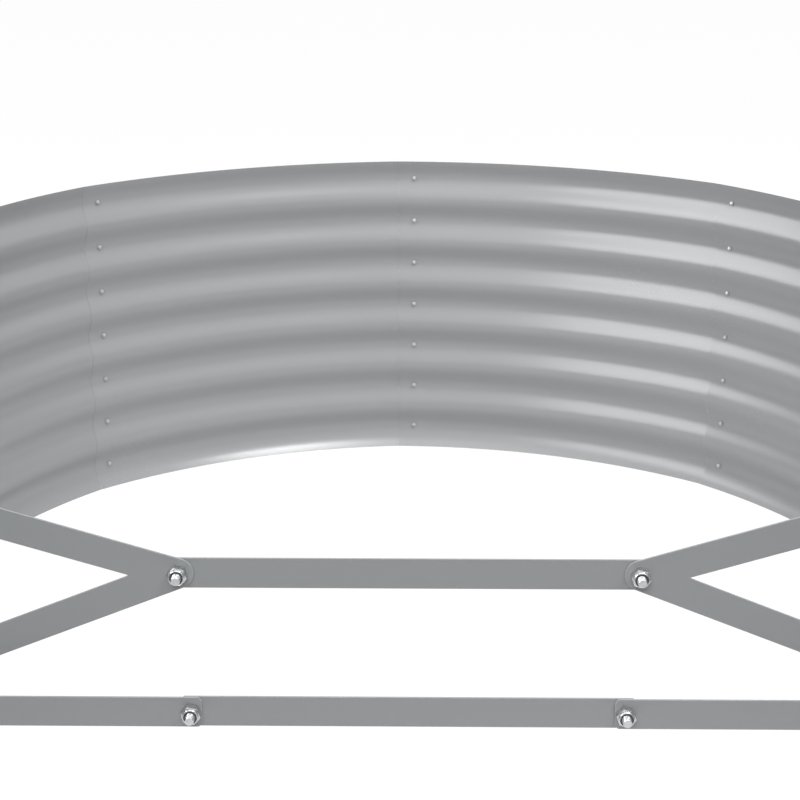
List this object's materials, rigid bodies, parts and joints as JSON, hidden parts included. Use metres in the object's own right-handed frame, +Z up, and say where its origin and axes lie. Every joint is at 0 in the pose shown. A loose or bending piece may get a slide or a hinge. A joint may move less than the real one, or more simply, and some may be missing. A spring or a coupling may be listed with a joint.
{
  "type": "raised garden bed",
  "caption": "Oval raised garden bed of corrugated grey steel panels bolted at lapped seams, open above and below, with a forked tie and a straight tie of flat strap across the middle.",
  "frame": {"origin": "on the ground at the centre of the oval", "axes": "+Y along the oval's long axis, away from the side of the seams that the ties' hub nuts face; +X across it; +Z up"},
  "size_m": [1.938, 3.422, 0.68],
  "materials": {
    "panel_paint": "satin grey powder coat on corrugated sheet steel",
    "strap_paint": "matt grey powder coat on flat steel strap",
    "zinc": "bright zinc plate"
  },
  "bodies": {
    "root": {"far_end_panel_1": "panel_paint", "far_end_panel_2": "panel_paint", "far_end_panel_3": "panel_paint", "far_end_panel_4": "panel_paint", "forked_plate_left": "strap_paint", "forked_plate_right": "strap_paint", "lower_hub_bolt_left": "zinc", "lower_hub_bolt_right": "zinc", "lower_hub_nut_left": "zinc", "lower_hub_nut_right": "zinc", "lower_middle_strap": "strap_paint", "lower_outer_strap_left": "strap_paint", "lower_outer_strap_right": "strap_paint", "near_end_panel_1": "panel_paint", "near_end_panel_2": "panel_paint", "near_end_panel_3": "panel_paint", "near_end_panel_4": "panel_paint", "seam_nut_left_1": "zinc", "seam_nut_left_2": "zinc", "seam_nut_left_3": "zinc", "seam_nut_left_4": "zinc", "seam_nut_left_5": "zinc", "seam_nut_left_6": "zinc", "seam_nut_left_7": "zinc", "seam_nut_right_1": "zinc", "seam_nut_right_2": "zinc", "seam_nut_right_3": "zinc", "seam_nut_right_4": "zinc", "seam_nut_right_5": "zinc", "seam_nut_right_6": "zinc", "seam_nut_right_7": "zinc", "seam_screw_left_1": "zinc", "seam_screw_left_2": "zinc", "seam_screw_left_3": "zinc", "seam_screw_left_4": "zinc", "seam_screw_left_5": "zinc", "seam_screw_left_6": "zinc", "seam_screw_left_7": "zinc", "seam_screw_right_1": "zinc", "seam_screw_right_2": "zinc", "seam_screw_right_3": "zinc", "seam_screw_right_4": "zinc", "seam_screw_right_5": "zinc", "seam_screw_right_6": "zinc", "seam_screw_right_7": "zinc", "side_panel_left_far": "panel_paint", "side_panel_left_near": "panel_paint", "side_panel_right_far": "panel_paint", "side_panel_right_near": "panel_paint", "upper_hub_bolt_left": "zinc", "upper_hub_bolt_right": "zinc", "upper_hub_nut_left": "zinc", "upper_hub_nut_right": "zinc", "upper_middle_strap": "strap_paint"}
  },
  "joints": []
}
